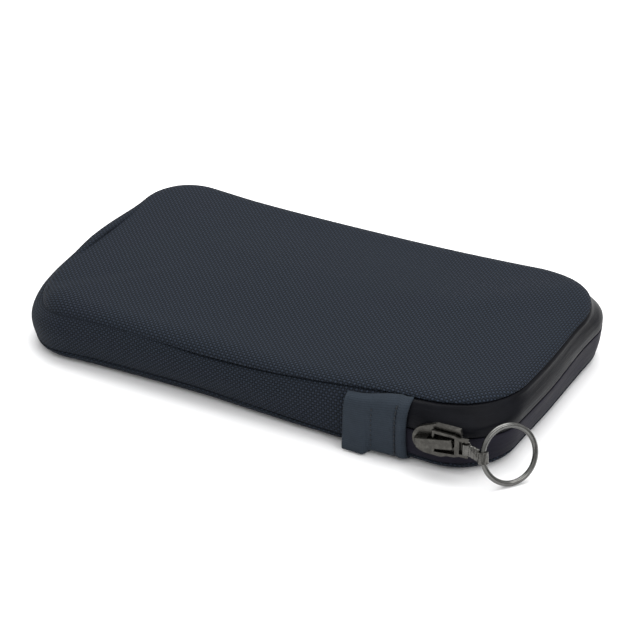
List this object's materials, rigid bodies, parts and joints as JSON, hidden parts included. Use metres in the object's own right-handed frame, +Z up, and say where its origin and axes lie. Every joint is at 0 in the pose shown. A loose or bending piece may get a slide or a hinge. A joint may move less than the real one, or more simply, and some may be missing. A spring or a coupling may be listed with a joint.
{
  "type": "travel document organizer",
  "caption": "Soft zipped pouch for a passport, tickets and cards, with a lid that folds up at one short end and a round ring on the zip puller.",
  "frame": {"origin": "centre of the flat base, at floor level", "axes": "+X towards the zipped short end, +Y towards the far long side, +Z up through the lid"},
  "size_m": [0.2323, 0.1356, 0.028],
  "materials": {
    "woven_shell": "coarse plain weave, navy",
    "foam": "thin closed-cell foam",
    "lining": "fine smooth lining, slate blue",
    "pocket_cloth": "fine smooth lining, lighter slate",
    "binding": "narrow woven binding tape, black",
    "coated_tape": "satin coating over woven zip tape, near black",
    "zip_coil": "moulded coil, black",
    "ribbon": "fine ribbed ribbon, slate navy",
    "thread": "twisted sewing thread, navy",
    "bright_metal": "plain steel",
    "gunmetal": "satin gunmetal plating on cast metal",
    "gunmetal_puller": "satin gunmetal plating",
    "gunmetal_link": "satin gunmetal plating, worn lighter",
    "gunmetal_ring": "polished gunmetal plating"
  },
  "bodies": {
    "pouch": {"bottom_panel": "woven_shell", "bottom_foam": "foam", "bottom_lining": "lining", "gusset": "woven_shell", "gusset_lining": "lining", "lid_panel_back": "woven_shell", "lid_foam_back": "foam", "lid_lining_back": "lining", "base_seam_binding": "binding", "lid_seam_binding_back": "binding", "zip_tape_lower": "coated_tape", "zip_coil_lower": "zip_coil", "zip_stop_near": "bright_metal", "zip_stop_far": "bright_metal", "label_tab": "ribbon", "plain_tab": "ribbon", "label_tab_stitches": "thread", "plain_tab_stitches": "thread", "document_pocket": "pocket_cloth", "passport_pocket": "lining", "card_slot_1": "pocket_cloth", "card_slot_2": "pocket_cloth", "card_slot_3": "pocket_cloth"},
    "flap": {"lid_panel_flap": "woven_shell", "lid_foam_flap": "foam", "lid_lining_flap": "lining", "lid_seam_binding_flap": "binding", "zip_tape_upper": "coated_tape", "zip_coil_upper": "zip_coil"},
    "slider": {"slider_body": "gunmetal", "slider_crown": "gunmetal", "slider_lock_spring": "bright_metal"},
    "puller": {"puller": "gunmetal_puller"},
    "puller_link": {"puller_link": "gunmetal_link"},
    "pull_ring": {"pull_ring": "gunmetal_ring"}
  },
  "joints": [
    {"name": "flap_open", "type": "hinge", "parent": "pouch", "child": "flap", "pos_m": [0.07615, 0, 0.028], "axis": [0, -1, 0], "range_deg": [0, 70]},
    {"name": "zip_travel", "type": "hinge", "parent": "pouch", "child": "slider", "pos_m": [0.084, -0.0375, 0], "axis": [0, 0, 1], "range_deg": [0, 45]},
    {"name": "puller_swing", "type": "hinge", "parent": "slider", "child": "puller", "pos_m": [0.08688, -0.06671, 0.0152], "axis": [0, 0, -1], "range_deg": [0, 150]},
    {"name": "link_swing", "type": "hinge", "parent": "puller", "child": "puller_link", "pos_m": [0.10001, -0.06533, 0.0152], "axis": [0, 0, -1], "range_deg": [-5, 100]},
    {"name": "ring_swing", "type": "hinge", "parent": "puller_link", "child": "pull_ring", "pos_m": [0.10679, -0.06485, 0.01287], "axis": [-0.2087, 0.2882, 0.9345], "range_deg": [-75, 12]}
  ]
}
